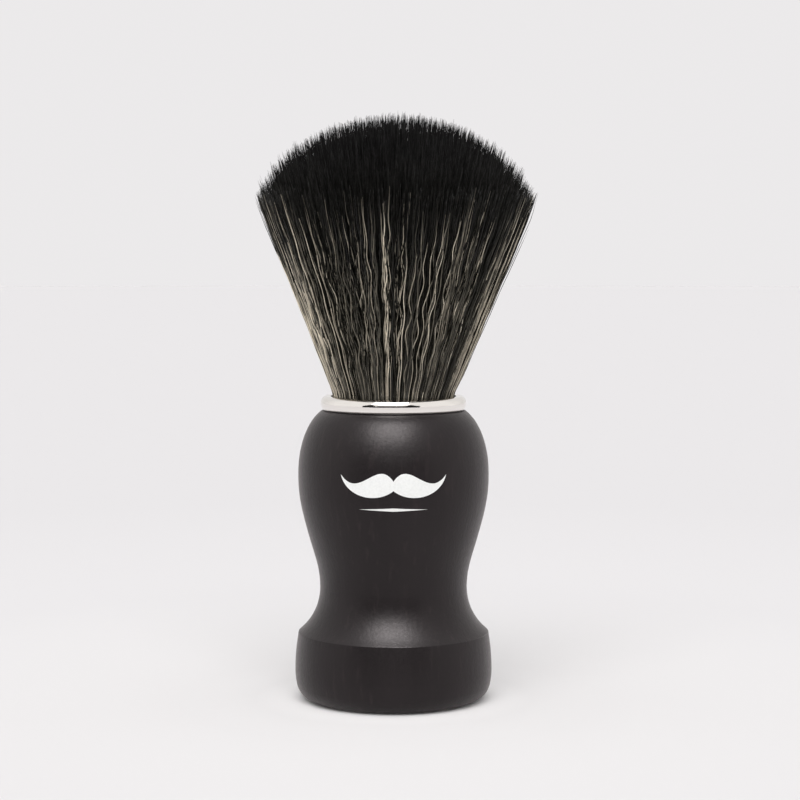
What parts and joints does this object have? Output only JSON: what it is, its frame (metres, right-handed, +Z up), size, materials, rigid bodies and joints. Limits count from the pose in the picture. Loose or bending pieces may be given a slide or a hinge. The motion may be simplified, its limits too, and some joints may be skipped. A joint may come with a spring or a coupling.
{
  "type": "shaving brush",
  "caption": "Shaving brush with a turned dark wooden handle, a polished metal collar and a fan of black bristle streaked with cream.",
  "frame": {"origin": "centre of the foot's flat face, on the surface that the brush stands on", "axes": "+Z up the brush's axis to the tips, -Y towards the front with the printed mark"},
  "size_m": [0.052, 0.052, 0.11],
  "materials": {
    "stained_wood": "dark stained, matt lacquered",
    "polished_metal": "mirror polished",
    "bristle": "fine synthetic fibre, black with cream strands",
    "potting_resin": "cast amber resin round the fibre roots",
    "binding_twine": "waxed twine",
    "epoxy": "cured epoxy",
    "white_ink": "pad-printed ink"
  },
  "bodies": {
    "root": {"handle": "stained_wood", "collar_ring": "polished_metal", "bristle_knot": "bristle", "knot_resin_plug": "potting_resin", "knot_binding_cord": "binding_twine", "socket_adhesive": "epoxy", "printed_mark": "white_ink"}
  },
  "joints": []
}
